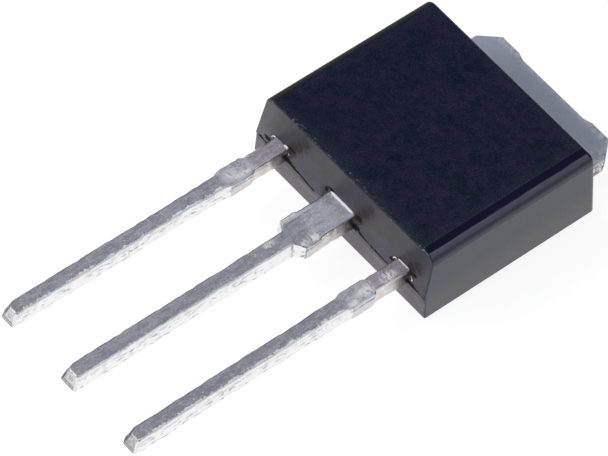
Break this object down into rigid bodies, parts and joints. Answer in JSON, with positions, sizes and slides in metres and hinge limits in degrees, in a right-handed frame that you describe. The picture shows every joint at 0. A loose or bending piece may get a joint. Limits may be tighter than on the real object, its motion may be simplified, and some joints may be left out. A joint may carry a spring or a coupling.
{
  "type": "power mosfet",
  "caption": "Through-hole power transistor: black moulded body, bare heat-sink tab and pad, and long straight flat leads for soldering into a board.",
  "frame": {"origin": "on the back face of the moulded body, at the middle of the moulding's length and on the middle lead's centre line", "axes": "+Y towards the heat-sink tab with the leads towards -Y, +Z out of the marked face, +X towards the source lead's side"},
  "size_m": [0.0064, 0.0165, 0.0023],
  "materials": {
    "mould_compound": "black glass-filled epoxy, fine spark-eroded texture on the faces and polished along the two long top edges",
    "tinned_copper": "copper strip with matt tin plating, drawn lines along the leads",
    "solder": "reflowed high-lead solder",
    "silicon": "sawn silicon with a metallised face",
    "bond_aluminium": "drawn aluminium wire"
  },
  "bodies": {
    "root": {"mould_body": "mould_compound", "drain_frame": "tinned_copper", "gate_lead": "tinned_copper", "source_lead": "tinned_copper", "die_solder": "solder", "mosfet_die": "silicon", "gate_wire": "bond_aluminium", "source_wire_1": "bond_aluminium", "source_wire_2": "bond_aluminium"}
  },
  "joints": []
}
